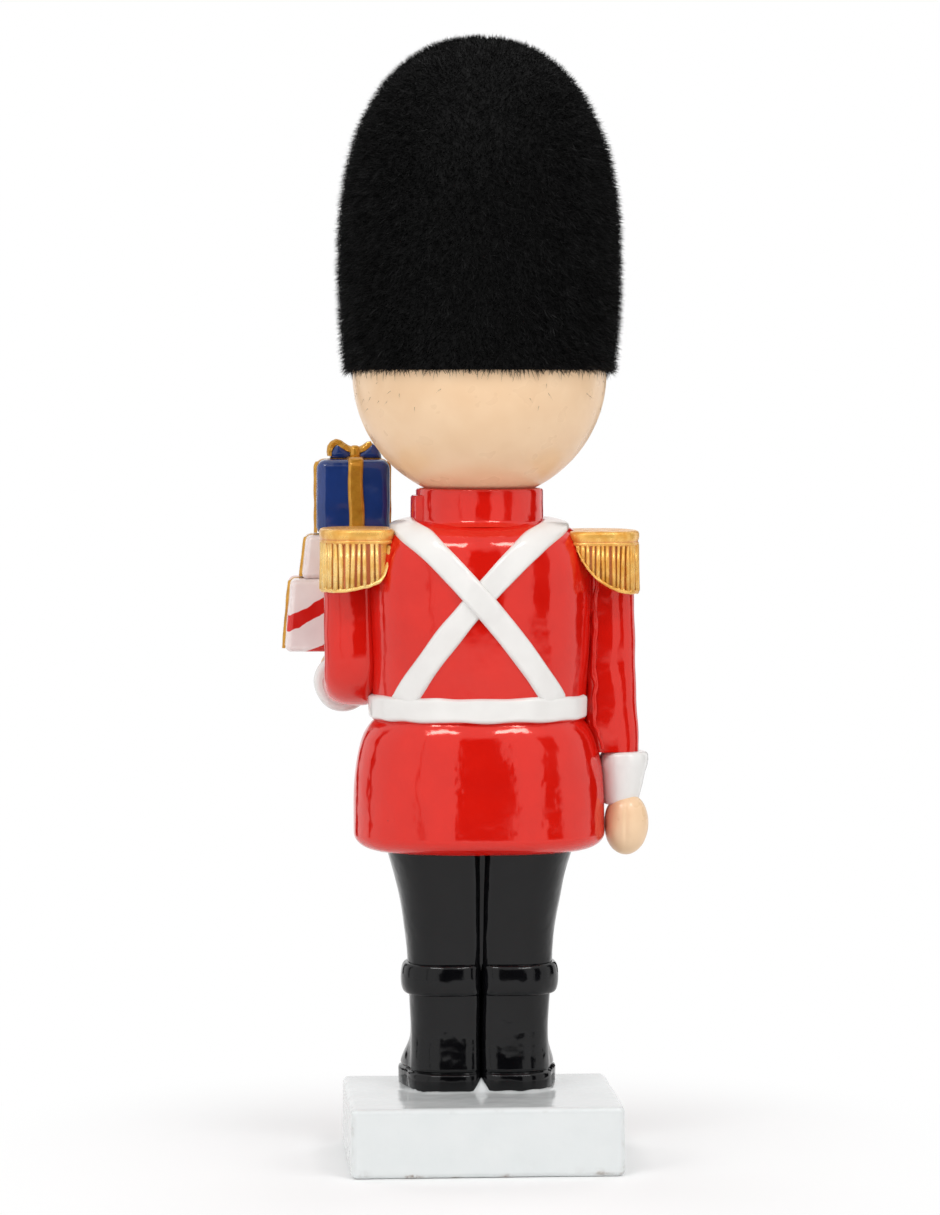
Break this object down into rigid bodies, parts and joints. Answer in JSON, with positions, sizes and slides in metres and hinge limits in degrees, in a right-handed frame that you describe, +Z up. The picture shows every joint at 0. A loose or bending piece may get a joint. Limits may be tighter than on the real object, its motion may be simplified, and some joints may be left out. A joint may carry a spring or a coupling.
{
  "type": "toy soldier figure",
  "caption": "Standing toy guardsman figure in a tall fur hat and belted tunic on a rectangular plinth, holding a stack of ribbon-tied gift boxes; a shelf or mantel decoration.",
  "frame": {"origin": "middle of the plinth's flat underside, on the surface that the figure stands on", "axes": "+Z up through the hat, -Y the way the figure faces, +X the figure's left"},
  "size_m": [0.0967, 0.0842, 0.2995],
  "materials": {
    "white_paint": "glossy white paint on cast resin",
    "black_paint": "glossy black paint on cast resin",
    "red_paint": "glossy red paint on cast resin",
    "skin_paint": "satin flesh-coloured paint on cast resin",
    "gold_paint": "gold paint with a brown wash in the grooves",
    "blue_paint": "glossy blue paint on cast resin",
    "gift_white": "glossy off-white paint on cast resin",
    "hat_former": "unpainted casting under the fur",
    "black_fur": "short-pile black fur fabric"
  },
  "bodies": {
    "root": {"plinth": "white_paint", "left_boot": "black_paint", "right_boot": "black_paint", "left_boot_roll": "black_paint", "right_boot_roll": "black_paint", "trousers": "black_paint", "tunic_skirt": "red_paint", "tunic_body": "red_paint", "waist_belt": "white_paint", "belt_buckle": "gold_paint", "under_strap": "white_paint", "over_strap": "white_paint", "front_buttons": "gold_paint", "collar": "red_paint", "head": "skin_paint", "hat_former": "hat_former", "hat_fur": "black_fur", "left_epaulette": "gold_paint", "right_epaulette": "gold_paint", "left_sleeve": "red_paint", "right_sleeve": "red_paint", "left_cuff": "white_paint", "right_cuff": "white_paint", "left_hand": "skin_paint", "right_hand": "skin_paint", "low_gift": "gift_white", "low_gift_ribbon": "gold_paint", "middle_gift": "gift_white", "middle_gift_ribbon": "gold_paint", "top_gift": "blue_paint", "top_gift_ribbon": "gold_paint", "gift_bow": "gold_paint"}
  },
  "joints": []
}
